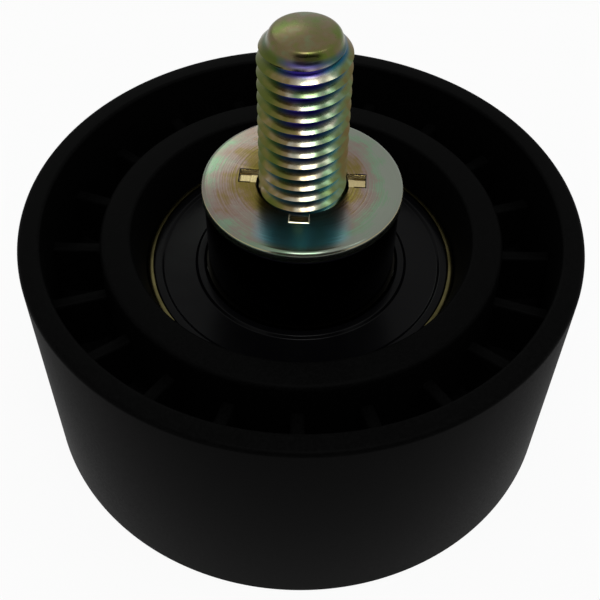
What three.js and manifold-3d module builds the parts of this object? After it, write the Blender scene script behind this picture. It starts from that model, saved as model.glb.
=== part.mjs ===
// Belt tensioner idler, in millimetres with +Z up.
// The pulley stands on its rear edge at z = 0. The bolt's threaded end points up along +Z, the axis of
// everything that turns.

import * as THREE from 'three';
import { mergeVertices } from 'three/addons/utils/BufferGeometryUtils.js';
import Module from 'manifold-3d';

const wasm = await Module();
wasm.setup();

// Gaps between pieces
const PRESS_GAP = 0.1;
const SEAT_GAP = 0.05;
const RUNNING_GAP = 0.3;
const OVERRUN = 1;

// Moulded pulley, 3.25 in across
const PULLEY_RADIUS = 41.275;
const PULLEY_WIDTH = 38;
const PULLEY_EDGE_RADIUS = 0.75;
const RIM_WALL = 3.25;
const RIM_MOUTH_CHAMFER = 0.45;
const MOULD_DRAFT = 0.55;
const WEB_THICKNESS = 4.4;
const WEB_FILLET = 1.3;
const RIB_COUNT = 20;
const RIB_THICKNESS = 2;
const RIB_SETBACK = 7.6;
const HUB_WALL = 6.25;
const HUB_SETBACK = 2.2;
const HUB_EDGE_CHAMFER = 0.75;
const HUB_MOUTH_FLARE = 1.8;
const SEAT_LEAD = 1.1;
const SHOULDER_LAP = 2;
const SHOULDER_THICKNESS = 2.6;

// Deep groove ball bearing, 20 x 47 x 14, with 5/16 in balls
const BEARING_BORE_RADIUS = 10;
const BEARING_OUTER_RADIUS = 23.5;
const BEARING_WIDTH = 14;
const BEARING_SETBACK = 8.7;
const RING_CHAMFER = 0.6;
const RACE_WALL = 2.481;
const LAND_SHARE = 0.6;
const BALL_COUNT = 8;

// Seals
const SEAL_SEAT_WALL = 0.9;
const SEAL_THICKNESS = 1.2;
const SEAL_SETBACK = 0.15;
const SEAL_BEAD_WIDTH = 1.2;
const SEAL_LIP_WIDTH = 1.1;
const SEAL_DISH = 0.4;

// Riveted ribbon cage
const CAGE_THICKNESS = 0.5;
const CAGE_POCKET_GAP = 0.5;
const CAGE_SEAL_GAP = 0.681;
const CAGE_WIDTH_SHARE = 0.8;
const RIVET_SHARE = 0.16;
const RIVET_HEAD_SHARE = 0.29;
const RIVET_HEAD_HEIGHT = 0.5;

// Hub bush: a spigot through the bearing and a collar that stands out of the pulley
const BUSH_COLLAR_LENGTH = 13.5;
const BUSH_CHAMFER = 0.45;
const BUSH_BORE_CLEARANCE = 0.6;
const BUSH_REAR_PROUD = 2.05;

// Retaining washer with four stakes round its bore, which the punch set a little towards +Y
const WASHER_OVERHANG = 0.35;
const WASHER_BORE_CLEARANCE = 0.4;
const WASHER_THICKNESS = 1.75;
const WASHER_EDGE_RADIUS = 0.65;
const STAKE_COUNT = 4;
const STAKE_TURN_DEGREES = -2.5;
const STAKE_WIDTH = 2.7;
const STAKE_OUTER_RADIUS = 9.05;
const STAKE_OFFSET = 0.65;
const STAKE_DEPTH = 0.55;

// Hex flange bolt, 1/2 in by 2.25 in under its head, 13 threads to the inch
const BOLT_RADIUS = 6.22;
const BOLT_LENGTH = 57.15;
const TIP_RADIUS = 4.4;
const TIP_CHAMFER_LENGTH = 2.6;
const TIP_CROWN = 0.55;
const THREAD_PITCH = 1.954;
const THREAD_DEPTH = 1.2;
const THREAD_LENGTH = 32.85;
const HEAD_HEIGHT = 12;
const HEX_ACROSS_FLATS = 19.05;
const HEX_CHAMFER = 1.25;
const FLANGE_EDGE = 1.9;
const FLANGE_CONE = 1.4;

// Facet counts
const PULLEY_SEGMENTS = 60;
const RING_SEGMENTS = 36;
const CAGE_SEGMENTS = 24;
const BOLT_SEGMENTS = 24;
const RIVET_SEGMENTS = 6;
const GROOVE_STEPS = 4;
const EDGE_STEPS = 2;
const BALL_AROUND = 10;
const BALL_DOWN = 6;
const POCKET_AROUND = 8;
const POCKET_DOWN = 6;
const CROWN_STEPS = 3;
const HEX_SIDES = 6;

// Radii worked out from the sizes: a ball fills what the races and the seals leave, and the lands, the cage
// and its rivets are shares of the ball's radius
const ballPitchRadius = (BEARING_BORE_RADIUS + BEARING_OUTER_RADIUS) / 2;
const roomBetweenRaces = (BEARING_OUTER_RADIUS - BEARING_BORE_RADIUS) / 2 - RACE_WALL - RUNNING_GAP;
const roomBetweenSeals = BEARING_WIDTH / 2 - SEAL_SETBACK - SEAL_THICKNESS
  - CAGE_SEAL_GAP - CAGE_THICKNESS - CAGE_POCKET_GAP;
const ballRadius = Math.min(roomBetweenRaces, roomBetweenSeals);
const grooveRadius = ballRadius + RUNNING_GAP;
const rivetRadius = RIVET_SHARE * ballRadius;
const rivetHeadRadius = RIVET_HEAD_SHARE * ballRadius;
const innerLandRadius = ballPitchRadius - LAND_SHARE * ballRadius;
const outerLandRadius = ballPitchRadius + LAND_SHARE * ballRadius;
const sealSeatRadius = BEARING_OUTER_RADIUS - SEAL_SEAT_WALL;
const sealRadius = sealSeatRadius - PRESS_GAP;
const bearingSeatRadius = BEARING_OUTER_RADIUS + PRESS_GAP;
const hubRadius = bearingSeatRadius + HUB_WALL;
const bushCollarRadius = innerLandRadius - RUNNING_GAP;
const washerRadius = bushCollarRadius + WASHER_OVERHANG;
const flangeRadius = bushCollarRadius;

// Heights worked out from the sizes
const webTop = (PULLEY_WIDTH + WEB_THICKNESS) / 2;
const bearingFront = PULLEY_WIDTH - BEARING_SETBACK;
const bearingRear = bearingFront - BEARING_WIDTH;
const bearingCentre = (bearingFront + bearingRear) / 2;
const bushCollarBottom = bearingFront + SEAT_GAP;
const bushTop = bushCollarBottom + BUSH_COLLAR_LENGTH;
const bushBottom = bearingRear - BUSH_REAR_PROUD;
const washerBottom = bushTop + SEAT_GAP;
const underHead = bushBottom - RUNNING_GAP;

// Finishes
const finish = (color, roughness, metalness) => new THREE.MeshStandardMaterial({ color, roughness, metalness });
const blackNylon = finish(0x0c0c0d, 0.45, 0);
const sealRubber = finish(0x101011, 0.3, 0);
const bearingSteel = finish(0xb9b6a8, 0.25, 1);
const cageSteel = finish(0xa8a9a6, 0.4, 1);
const blackSteel = finish(0x121214, 0.35, 0.6);
const yellowZinc = finish(0x9b9670, 0.35, 1);

// A turned solid from a closed outline of [radius, height] points, walked counter-clockwise
function turned(outline, segments) {
  const points = outline.map(([r, z]) => new THREE.Vector2(r, z));
  if (outline[0][0] > 0) points.push(points[0].clone());
  const geometry = new THREE.LatheGeometry(points, segments);
  geometry.rotateX(Math.PI / 2);
  return geometry;
}

// Points of an arc in the outline's plane, both ends included
function arc(centreR, centreZ, radius, fromDegrees, toDegrees, steps) {
  return Array.from({ length: steps + 1 }, (_, i) => {
    const angle = THREE.MathUtils.degToRad(THREE.MathUtils.lerp(fromDegrees, toDegrees, i / steps));
    return [centreR + radius * Math.cos(angle), centreZ + radius * Math.sin(angle)];
  });
}

// The same outline seen from the other side of the plane at a height
function mirrored(outline, height) {
  return outline.map(([r, z]) => [r, 2 * height - z]).reverse();
}

function toSolid(geometry) {
  const bare = geometry.clone();
  bare.deleteAttribute('normal');
  bare.deleteAttribute('uv');
  const merged = mergeVertices(bare);
  const corners = [];
  for (let i = 0; i < merged.index.count; i += 3) {
    const [a, b, c] = [merged.index.getX(i), merged.index.getX(i + 1), merged.index.getX(i + 2)];
    if (a !== b && b !== c && c !== a) corners.push(a, b, c);
  }
  return new wasm.Manifold(new wasm.Mesh({
    numProp: 3,
    vertProperties: new Float32Array(merged.attributes.position.array),
    triVerts: new Uint32Array(corners),
  }));
}

function toGeometry(solid) {
  const { vertProperties, triVerts } = solid.getMesh();
  const geometry = new THREE.BufferGeometry();
  geometry.setAttribute('position', new THREE.BufferAttribute(new Float32Array(vertProperties), 3));
  geometry.setIndex(new THREE.BufferAttribute(new Uint32Array(triVerts), 1));
  geometry.computeVertexNormals();
  return geometry;
}

function block(width, depth, height) {
  return new THREE.BoxGeometry(width, depth, height);
}

function named(name, geometry, material) {
  const mesh = new THREE.Mesh(geometry, material);
  mesh.name = name;
  return mesh;
}

// Pulley
function pulleyBody() {
  const e = PULLEY_EDGE_RADIUS;
  const m = RIM_MOUTH_CHAMFER;
  const h = HUB_EDGE_CHAMFER;
  const mouthRadius = PULLEY_RADIUS - RIM_WALL;
  const troughOuter = mouthRadius - MOULD_DRAFT;
  const troughInner = hubRadius + MOULD_DRAFT;
  const f = Math.min(WEB_FILLET, (troughOuter - troughInner) / 3);
  const shoulderRadius = BEARING_OUTER_RADIUS - SHOULDER_LAP;
  const hubTop = PULLEY_WIDTH - HUB_SETBACK;

  const frontHalf = [
    ...arc(PULLEY_RADIUS - e, PULLEY_WIDTH - e, e, 0, 90, EDGE_STEPS),
    [mouthRadius + m, PULLEY_WIDTH],
    [mouthRadius, PULLEY_WIDTH - m],
    ...arc(troughOuter - f, webTop + f, f, 0, -90, EDGE_STEPS),
    ...arc(troughInner + f, webTop + f, f, -90, -180, EDGE_STEPS),
    [hubRadius, hubTop - h],
    [hubRadius - h, hubTop],
    [bearingSeatRadius + HUB_MOUTH_FLARE, hubTop],
  ];
  const bore = [
    [bearingSeatRadius, bearingFront + SEAT_LEAD],
    [bearingSeatRadius, bearingRear - SEAT_GAP],
    [shoulderRadius, bearingRear - SEAT_GAP],
    [shoulderRadius, bearingRear - SHOULDER_THICKNESS],
  ];
  const rearHalf = mirrored(frontHalf, PULLEY_WIDTH / 2);
  return toSolid(turned([...frontHalf, ...bore, ...rearHalf], PULLEY_SEGMENTS));
}

// A rib is one plate through the web, so it stands in the front and in the rear recess
function pulleyRib() {
  const inner = hubRadius - MOULD_DRAFT;
  const outer = PULLEY_RADIUS - RIM_WALL + MOULD_DRAFT;
  const rib = block(outer - inner, RIB_THICKNESS, PULLEY_WIDTH - 2 * RIB_SETBACK);
  rib.translate((outer + inner) / 2, 0, PULLEY_WIDTH / 2);
  return toSolid(rib);
}

function pulleyGeometry() {
  const rib = pulleyRib();
  let body = pulleyBody();
  for (let i = 0; i < RIB_COUNT; i += 1) {
    body = body.add(rib.rotate([0, 0, 360 * i / RIB_COUNT]));
  }
  return toGeometry(body);
}

// Bearing rings, drawn about the bearing's centre
const sealSeatDepth = SEAL_SETBACK + SEAL_THICKNESS + SEAT_GAP;

// Half the angle over which a groove of the ball's pitch radius cuts a land, in degrees
function grooveHalfAngle(landRadius) {
  return THREE.MathUtils.radToDeg(Math.acos(Math.abs(ballPitchRadius - landRadius) / grooveRadius));
}

function outerRingGeometry() {
  const half = BEARING_WIDTH / 2;
  const c = RING_CHAMFER;
  const angle = grooveHalfAngle(outerLandRadius);
  const top = [
    [BEARING_OUTER_RADIUS, half - c],
    [BEARING_OUTER_RADIUS - c, half],
    [sealSeatRadius, half],
    [sealSeatRadius, half - sealSeatDepth],
    [outerLandRadius, half - sealSeatDepth],
  ];
  const groove = arc(ballPitchRadius, 0, grooveRadius, angle, -angle, GROOVE_STEPS);
  return turned([...top, ...groove, ...mirrored(top, 0)], RING_SEGMENTS);
}

function innerRingGeometry() {
  const half = BEARING_WIDTH / 2;
  const c = RING_CHAMFER;
  const angle = grooveHalfAngle(innerLandRadius);
  const groove = arc(ballPitchRadius, 0, grooveRadius, 180 + angle, 180 - angle, GROOVE_STEPS);
  const top = [
    [innerLandRadius, half],
    [BEARING_BORE_RADIUS + c, half],
    [BEARING_BORE_RADIUS, half - c],
  ];
  return turned([...groove, ...top, ...mirrored(top, 0)], RING_SEGMENTS);
}

// A seal, drawn with its outer face up and at z = 0
function sealGeometry() {
  const inner = innerLandRadius + RUNNING_GAP;
  const beadInner = sealRadius - SEAL_BEAD_WIDTH;
  const lipOuter = inner + SEAL_LIP_WIDTH;
  return turned([
    [sealRadius, -SEAL_THICKNESS],
    [sealRadius, -SEAL_DISH],
    [sealRadius - SEAL_DISH, 0],
    [beadInner, 0],
    [beadInner - SEAL_DISH, -SEAL_DISH],
    [lipOuter + SEAL_DISH, -SEAL_DISH],
    [lipOuter, 0],
    [inner, 0],
    [inner, -SEAL_THICKNESS],
  ], RING_SEGMENTS);
}

function sphere(radius, around, down) {
  const geometry = new THREE.SphereGeometry(radius, around, down);
  geometry.rotateX(Math.PI / 2);
  return geometry;
}

// One half of the ribbon cage: pressed pockets round the balls and flat bridges between them
function cageHalfGeometry() {
  const halfWidth = CAGE_WIDTH_SHARE * ballRadius / 2;
  const innerRadius = ballPitchRadius - halfWidth;
  const outerRadius = ballPitchRadius + halfWidth;
  const pocketRadius = ballRadius + CAGE_POCKET_GAP;
  const ribbon = (bottom, top) => toSolid(turned([
    [outerRadius, bottom],
    [outerRadius, top],
    [innerRadius, top],
    [innerRadius, bottom],
  ], CAGE_SEGMENTS));
  const joint = SEAT_GAP / 2;
  const shell = toSolid(sphere(pocketRadius + CAGE_THICKNESS, POCKET_AROUND, POCKET_DOWN));
  const room = toSolid(sphere(pocketRadius, POCKET_AROUND, POCKET_DOWN));
  const hole = toSolid(rivetShank(2 * CAGE_THICKNESS + OVERRUN, rivetRadius + PRESS_GAP));
  const around = (solid, turn) => solid.translate([ballPitchRadius, 0, 0]).rotate([0, 0, turn]);

  const turns = Array.from({ length: BALL_COUNT }, (_, i) => 360 * i / BALL_COUNT);
  let half = ribbon(joint, joint + CAGE_THICKNESS);
  for (const turn of turns) half = half.add(around(shell, turn));
  for (const turn of turns) half = half.subtract(around(room, turn));
  for (const turn of turns) half = half.subtract(around(hole, turn + 180 / BALL_COUNT));
  return toGeometry(half.intersect(ribbon(joint, pocketRadius + CAGE_THICKNESS + OVERRUN)));
}

function rivetShank(length, radius) {
  const shank = new THREE.CylinderGeometry(radius, radius, length, RIVET_SEGMENTS);
  shank.rotateX(Math.PI / 2);
  return shank;
}

function rivetGeometry() {
  const grip = SEAT_GAP / 2 + CAGE_THICKNESS + SEAT_GAP;
  const top = grip + RIVET_HEAD_HEIGHT;
  const upper = [
    [rivetRadius, grip],
    [rivetHeadRadius, grip],
    [rivetRadius, top],
    [0, top],
  ];
  return turned([...mirrored(upper, 0), ...upper], RIVET_SEGMENTS);
}

// Hub bush
function bushGeometry() {
  const bore = BOLT_RADIUS + BUSH_BORE_CLEARANCE;
  const spigot = BEARING_BORE_RADIUS - PRESS_GAP;
  const c = BUSH_CHAMFER;
  return turned([
    [bore, bushBottom],
    [spigot - c, bushBottom],
    [spigot, bushBottom + c],
    [spigot, bushCollarBottom],
    [bushCollarRadius, bushCollarBottom],
    [bushCollarRadius, bushTop - c],
    [bushCollarRadius - c, bushTop],
    [bore, bushTop],
  ], RING_SEGMENTS);
}

// Retaining washer
function washerGeometry() {
  const bore = BOLT_RADIUS + WASHER_BORE_CLEARANCE;
  const top = washerBottom + WASHER_THICKNESS;
  const e = WASHER_EDGE_RADIUS;
  let washer = toSolid(turned([
    [bore, washerBottom],
    [washerRadius - e / 2, washerBottom],
    [washerRadius, washerBottom + e / 2],
    ...arc(washerRadius - e, top - e, e, 0, 90, EDGE_STEPS),
    [bore, top],
  ], RING_SEGMENTS));

  const inner = bore - STAKE_OFFSET - OVERRUN;
  const stake = block(STAKE_OUTER_RADIUS - inner, STAKE_WIDTH, STAKE_DEPTH + OVERRUN);
  stake.translate((STAKE_OUTER_RADIUS + inner) / 2, 0, top + (OVERRUN - STAKE_DEPTH) / 2);
  const pocket = toSolid(stake);
  for (let i = 0; i < STAKE_COUNT; i += 1) {
    const turn = STAKE_TURN_DEGREES + 360 * i / STAKE_COUNT;
    washer = washer.subtract(pocket.rotate([0, 0, turn]).translate([0, STAKE_OFFSET, 0]));
  }
  return toGeometry(washer);
}

// A rod with a helical thread. Its rows of crests and roots climb one pitch in a turn, so a row ends where the
// row two above it starts, and a fan from the axis closes each end.
function threadedRod(bottom, top) {
  const rows = 2 * Math.ceil((top - bottom) / THREAD_PITCH);
  const point = (column, row) => {
    const angle = 2 * Math.PI * column / BOLT_SEGMENTS;
    const radius = row % 2 ? BOLT_RADIUS - THREAD_DEPTH : BOLT_RADIUS;
    const height = bottom + THREAD_PITCH * (row / 2 + column / BOLT_SEGMENTS);
    return [radius * Math.cos(angle), radius * Math.sin(angle), height];
  };
  const columns = Array.from({ length: BOLT_SEGMENTS }, (_, i) => i);
  const edge = (row) => [
    ...columns.map((column) => point(column, row)),
    point(0, row + 2),
    point(0, row + 1),
    point(0, row),
  ];

  const corners = [];
  for (const i of columns) {
    for (let j = 0; j < rows; j += 1) {
      corners.push(point(i, j), point(i + 1, j), point(i + 1, j + 1));
      corners.push(point(i, j), point(i + 1, j + 1), point(i, j + 1));
    }
  }
  const [low, high] = [edge(0), edge(rows)];
  for (let i = 1; i < low.length; i += 1) {
    corners.push([0, 0, bottom], low[i], low[i - 1]);
    corners.push([0, 0, top + THREAD_PITCH], high[i - 1], high[i]);
  }
  const geometry = new THREE.BufferGeometry();
  geometry.setAttribute('position', new THREE.Float32BufferAttribute(corners.flat(), 3));
  return toSolid(geometry);
}

// Bolt: the thread runs out into the turned tip, and the hex is a prism trimmed by a turned blank, so its
// corners get their chamfer
function boltGeometry() {
  const headEnd = underHead - HEAD_HEIGHT;
  const flangeBottom = underHead - FLANGE_EDGE;
  const hexRadius = HEX_ACROSS_FLATS / 2 / Math.cos(Math.PI / HEX_SIDES);
  const tip = underHead + BOLT_LENGTH;
  const shoulder = tip - TIP_CROWN;
  const crownRadius = (TIP_RADIUS ** 2 + TIP_CROWN ** 2) / (2 * TIP_CROWN);
  const crownAngle = THREE.MathUtils.radToDeg(Math.asin(TIP_RADIUS / crownRadius));

  const threadBottom = tip - THREAD_LENGTH;
  const shank = toSolid(turned([
    [0, headEnd + HEX_CHAMFER],
    [BOLT_RADIUS, headEnd + HEX_CHAMFER],
    [BOLT_RADIUS, threadBottom],
    [0, threadBottom],
  ], BOLT_SEGMENTS));
  const tipBlank = toSolid(turned([
    [0, threadBottom],
    [BOLT_RADIUS + OVERRUN, threadBottom],
    [BOLT_RADIUS + OVERRUN, shoulder - TIP_CHAMFER_LENGTH],
    [BOLT_RADIUS, shoulder - TIP_CHAMFER_LENGTH],
    ...arc(0, tip - crownRadius, crownRadius, 90 - crownAngle, 90, CROWN_STEPS),
  ], BOLT_SEGMENTS));
  const thread = threadedRod(threadBottom - THREAD_PITCH, tip).intersect(tipBlank);
  const flange = toSolid(turned([
    [0, flangeBottom - FLANGE_CONE],
    [HEX_ACROSS_FLATS / 2, flangeBottom - FLANGE_CONE],
    [flangeRadius, flangeBottom],
    [flangeRadius, underHead - FLANGE_EDGE / 3],
    [flangeRadius - FLANGE_EDGE / 3, underHead],
    [0, underHead],
  ], RING_SEGMENTS));
  const blank = toSolid(turned([
    [0, headEnd],
    [hexRadius - HEX_CHAMFER, headEnd],
    [hexRadius, headEnd + HEX_CHAMFER / 2],
    [hexRadius + OVERRUN, headEnd + HEX_CHAMFER],
    [hexRadius + OVERRUN, flangeBottom],
    [0, flangeBottom],
  ], BOLT_SEGMENTS));
  const prism = new THREE.CylinderGeometry(hexRadius, hexRadius, HEAD_HEIGHT, HEX_SIDES);
  prism.rotateX(Math.PI / 2);
  prism.translate(0, 0, headEnd + HEAD_HEIGHT / 2);
  const hex = toSolid(prism).intersect(blank);
  return toGeometry(hex.add(flange).add(shank).add(thread));
}

// The bearing is a group of its own at its place in the pulley
function bearing() {
  const group = new THREE.Group();
  group.position.z = bearingCentre;
  group.add(named('bearing_outer_ring', outerRingGeometry(), bearingSteel));
  group.add(named('bearing_inner_ring', innerRingGeometry(), bearingSteel));

  const ball = sphere(ballRadius, BALL_AROUND, BALL_DOWN);
  const rivet = rivetGeometry();
  for (let i = 0; i < BALL_COUNT; i += 1) {
    const spoke = new THREE.Group();
    spoke.rotation.z = 2 * Math.PI * i / BALL_COUNT;
    const ballMesh = named(`bearing_ball_${i + 1}`, ball, bearingSteel);
    ballMesh.position.x = ballPitchRadius;
    spoke.add(ballMesh);
    group.add(spoke);

    const bridge = new THREE.Group();
    bridge.rotation.z = 2 * Math.PI * (i + 1 / 2) / BALL_COUNT;
    const rivetMesh = named(`cage_rivet_${i + 1}`, rivet, cageSteel);
    rivetMesh.position.x = ballPitchRadius;
    bridge.add(rivetMesh);
    group.add(bridge);
  }

  const cageHalf = cageHalfGeometry();
  group.add(named('cage_front_half', cageHalf, cageSteel));
  const rearHalf = named('cage_rear_half', cageHalf, cageSteel);
  rearHalf.rotation.x = Math.PI;
  group.add(rearHalf);

  const seal = sealGeometry();
  const frontSeal = named('front_seal', seal, sealRubber);
  frontSeal.position.z = BEARING_WIDTH / 2 - SEAL_SETBACK;
  const rearSeal = named('rear_seal', seal, sealRubber);
  rearSeal.rotation.x = Math.PI;
  rearSeal.position.z = -frontSeal.position.z;
  group.add(frontSeal, rearSeal);
  return group;
}

const idler = new THREE.Group();
idler.name = 'belt_tensioner_idler';
idler.add(named('pulley', pulleyGeometry(), blackNylon));
idler.add(bearing());
idler.add(named('hub_bush', bushGeometry(), blackSteel));
idler.add(named('retaining_washer', washerGeometry(), yellowZinc));
idler.add(named('bolt', boltGeometry(), yellowZinc));

export default idler;
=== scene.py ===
# %% [markdown]
# A belt tensioner idler: a smooth black pulley turns on a sealed ball bearing, and one long bolt carries it.
# The bolt's threaded end stands up out of a plated washer. The script loads the model of its mechanism as a
# fixed frame and dresses each piece that shows, from the pulley inwards to the bolt.

# %% Load the frame
import math

import bmesh
import bpy
import numpy as np
from mathutils import Color, Matrix, Vector


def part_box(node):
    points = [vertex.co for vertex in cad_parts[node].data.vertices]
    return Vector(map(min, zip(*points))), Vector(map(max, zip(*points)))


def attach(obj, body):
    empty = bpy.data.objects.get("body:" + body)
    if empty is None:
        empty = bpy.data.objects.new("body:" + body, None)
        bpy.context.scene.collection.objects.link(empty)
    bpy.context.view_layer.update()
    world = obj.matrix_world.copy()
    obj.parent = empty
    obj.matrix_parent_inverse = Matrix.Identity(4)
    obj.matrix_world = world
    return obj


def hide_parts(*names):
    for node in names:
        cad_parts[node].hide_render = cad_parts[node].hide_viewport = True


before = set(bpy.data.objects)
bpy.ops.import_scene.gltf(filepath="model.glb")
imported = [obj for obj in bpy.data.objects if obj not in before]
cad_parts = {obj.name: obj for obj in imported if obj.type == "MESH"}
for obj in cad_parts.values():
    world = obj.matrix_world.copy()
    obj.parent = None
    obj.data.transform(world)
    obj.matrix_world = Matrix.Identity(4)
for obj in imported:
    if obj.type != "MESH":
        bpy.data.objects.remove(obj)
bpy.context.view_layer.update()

# %% [markdown]
# Lengths below are written in millimetres and turned to metres by one factor. A round piece's reach and its
# two ends are read from the frame, so a dressed piece can't drift from the one that it stands for.

# %% Sizes read from the frame
MM = 0.001


def reach(node):
    """The outer radius of a round node on the spin axis."""
    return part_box(node)[1].x


def bottom(node):
    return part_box(node)[0].z


def top(node):
    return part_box(node)[1].z


pulley_radius = reach("pulley")
pulley_width = top("pulley")
ring_radius = reach("bearing_outer_ring")
bearing_front = top("bearing_outer_ring")
bearing_rear = bottom("bearing_outer_ring")
washer_top = top("retaining_washer")
washer_bottom = bottom("retaining_washer")
bolt_tip = top("bolt")
print(f"pulley {2 * pulley_radius / MM:.1f} mm across, {pulley_width / MM:.1f} mm wide")

# %% [markdown]
# The photograph was taken from close by: the camera stood about 15 cm from the pulley's face, with a lens
# somewhat longer than a normal one. Place, tilt, roll and lens were fitted to the pulley's rim, its lower
# edge, the bearing's ring and the washer, so the near rim spreads and the stud widens towards its tip as
# they do there. Tilt, from straight down, and roll are in degrees, lens and sensor in millimetres.

# %% Camera
CAMERA_PLACE = Vector((0, -106.17, 141.82)) * MM
CAMERA_TILT = 40.79
CAMERA_ROLL = 1.16
LENS = 60.29
SENSOR = 36
CLIP_START = 10 * MM

camera_data = bpy.data.cameras.new("camera")
camera_data.lens = LENS
camera_data.sensor_width = SENSOR
camera_data.clip_start = CLIP_START
camera = bpy.data.objects.new("camera", camera_data)
tilt = Matrix.Rotation(math.radians(CAMERA_TILT), 4, "X")
roll = Matrix.Rotation(math.radians(CAMERA_ROLL), 4, "Z")
camera.matrix_world = Matrix.Translation(CAMERA_PLACE) @ tilt @ roll
bpy.context.scene.collection.objects.link(camera)
bpy.context.scene.camera = camera
print(f"camera {(CAMERA_PLACE - Vector((0, 0, pulley_width))).length / MM:.0f} mm from the pulley's face")

# %% [markdown]
# Nearly every piece here was turned in a lathe or moulded round an axis. Blender's Screw modifier could sweep
# an outline, but a grid of rings built in code is as short, merges cleanly on the axis, and also takes shapes
# that aren't round, such as a hexagon whose corners are chamfered. An outline is a list of corners, and each
# corner brings its own fillet, because no real edge is quite sharp.

# %% Rings and rounded outlines
COLUMNS = 240
FILLET_STEPS = 6


def ring(radius, height, columns=COLUMNS):
    """A ring of points round the spin axis. Radius and height are numbers, or one number for each column."""
    turn = np.arange(columns) * math.tau / columns
    return np.stack([radius * np.cos(turn), radius * np.sin(turn), np.zeros(columns) + height], 1)


def rounded(corners):
    """The outline through corners of (radius, height, fillet), each one rounded by its fillet."""
    points = []
    for i, (radius, height, fillet) in enumerate(corners):
        here = Vector((radius, height))
        if not fillet:
            points.append(tuple(here))
            continue
        back = (Vector(corners[i - 1][:2]) - here).normalized()
        ahead = (Vector(corners[(i + 1) % len(corners)][:2]) - here).normalized()
        half = back.angle(ahead) / 2
        centre = here + (back + ahead).normalized() * fillet / math.sin(half)
        start = here + back * fillet / math.tan(half) - centre
        end = here + ahead * fillet / math.tan(half) - centre
        sweep = math.atan2(start.cross(end), start.dot(end))
        first = math.atan2(start.y, start.x)
        for step in range(FILLET_STEPS + 1):
            angle = first + sweep * step / FILLET_STEPS
            points.append((centre.x + fillet * math.cos(angle), centre.y + fillet * math.sin(angle)))
    return points


print(f"a round piece has {COLUMNS} columns, and a fillet {FILLET_STEPS + 1} rings")

# %% [markdown]
# Rings become a mesh when each one is joined to the next by quads. Seams and poles leave doubled points, so
# those are merged first, and only then are the normals made to point outwards. Smooth shading with the hard
# edges kept hard gives round walls and crisp corners without a modifier.

# %% Skins through rings
MERGE = 0.002 * MM
HARD_EDGE = math.radians(35)


def loft(name, rings, closed=False):
    """An object whose skin runs through rings of points, and back to the first one if it is closed."""
    grid = np.array(rings)
    rows, columns = grid.shape[:2]
    number = np.arange(rows * columns).reshape(rows, columns)
    if closed:
        number = np.vstack([number, number[:1]])
    beside = np.roll(number, -1, axis=1)
    quads = np.stack([number[:-1], beside[:-1], beside[1:], number[1:]], -1).reshape(-1, 4)
    mesh = bpy.data.meshes.new(name)
    mesh.from_pydata(grid.reshape(-1, 3).tolist(), [], quads.tolist())
    return finished(bpy.data.objects.new(name, mesh))


def finished(piece):
    """Closes a piece's seams and poles, points its faces outwards and keeps its hard edges hard."""
    form = bmesh.new()
    form.from_mesh(piece.data)
    bmesh.ops.remove_doubles(form, verts=form.verts, dist=MERGE)
    bmesh.ops.recalc_face_normals(form, faces=form.faces)
    form.to_mesh(piece.data)
    form.free()
    piece.data.shade_smooth()
    piece.data.set_sharp_from_angle(angle=HARD_EDGE)
    bpy.context.scene.collection.objects.link(piece)
    return piece


def turned(name, corners):
    """A turned ring from the corners of its closed outline."""
    return loft(name, [ring(r, z) for r, z in rounded(corners)], closed=True)


def joined(name, pieces):
    """One object that holds the meshes of several."""
    form = bmesh.new()
    for piece in pieces:
        form.from_mesh(piece.data)
    mesh = bpy.data.meshes.new(name)
    form.to_mesh(mesh)
    form.free()
    for piece in pieces:
        bpy.data.objects.remove(piece)
    return finished(bpy.data.objects.new(name, mesh))


print(f"edges over {math.degrees(HARD_EDGE):.0f} degrees stay hard")

# %% [markdown]
# Each finish is a tree of shader nodes. One function adds any node, with its settings, and fills or links its
# inputs, so that a tree reads from top to bottom as a list of what it does. A Mix node that is set to colours
# has them at inputs 6 and 7, and gives its result at output 2. What lies round the spin axis, such as turning
# marks, is read from the distance to that axis.

# %% Helpers for finishes
def linear(code):
    """The linear colour of an sRGB hex code."""
    srgb = Color([int(code[i:i + 2], 16) / 255 for i in (0, 2, 4)])
    return (*srgb.from_srgb_to_scene_linear(), 1)


def add(tree, kind, inputs=None, stops=None, **settings):
    """Adds a node to a tree. An input is a value, or a socket to link to it; stops are a ramp's colours."""
    node = tree.nodes.new(kind)
    for key, value in settings.items():
        setattr(node, key, value)
    for key, value in (inputs or {}).items():
        if isinstance(value, bpy.types.NodeSocket):
            tree.links.new(value, node.inputs[key])
        else:
            node.inputs[key].default_value = value
    for i, (place, colour) in enumerate(stops or []):
        ramp = node.color_ramp.elements
        stop = ramp[i] if i < len(ramp) else ramp.new(place)
        stop.position = place
        stop.color = linear(colour)
    return node


def new_finish(name):
    """An empty material and its tree."""
    finish = bpy.data.materials.new(name)
    finish.use_nodes = True
    finish.node_tree.nodes.clear()
    print("finish:", name)
    return finish, finish.node_tree


def off_axis(tree, place):
    """A socket that holds the distance from the spin axis."""
    flat = add(tree, "ShaderNodeVectorMath", {0: place, 1: (1, 1, 0)}, operation="MULTIPLY")
    return add(tree, "ShaderNodeVectorMath", {0: flat.outputs[0]}, operation="LENGTH").outputs["Value"]


def coat(tree, shader):
    """Puts a shader on the surface."""
    add(tree, "ShaderNodeOutputMaterial", {"Surface": shader.outputs[0]})


# %% [markdown]
# A dressed piece is told what it belongs to: the body that it rides on when the mechanism moves, and the
# frame's nodes that it stands for.

# %% Dressing a piece
def dress(piece, finish, body, slot, *nodes):
    """Gives a piece its finish and body and hides the nodes it stands for; the slot is not used."""
    piece.data.materials.clear()
    piece.data.materials.append(finish)
    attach(piece, body)
    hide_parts(*nodes)
    print(f"{piece.name}: {len(piece.data.polygons)} faces")


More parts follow.
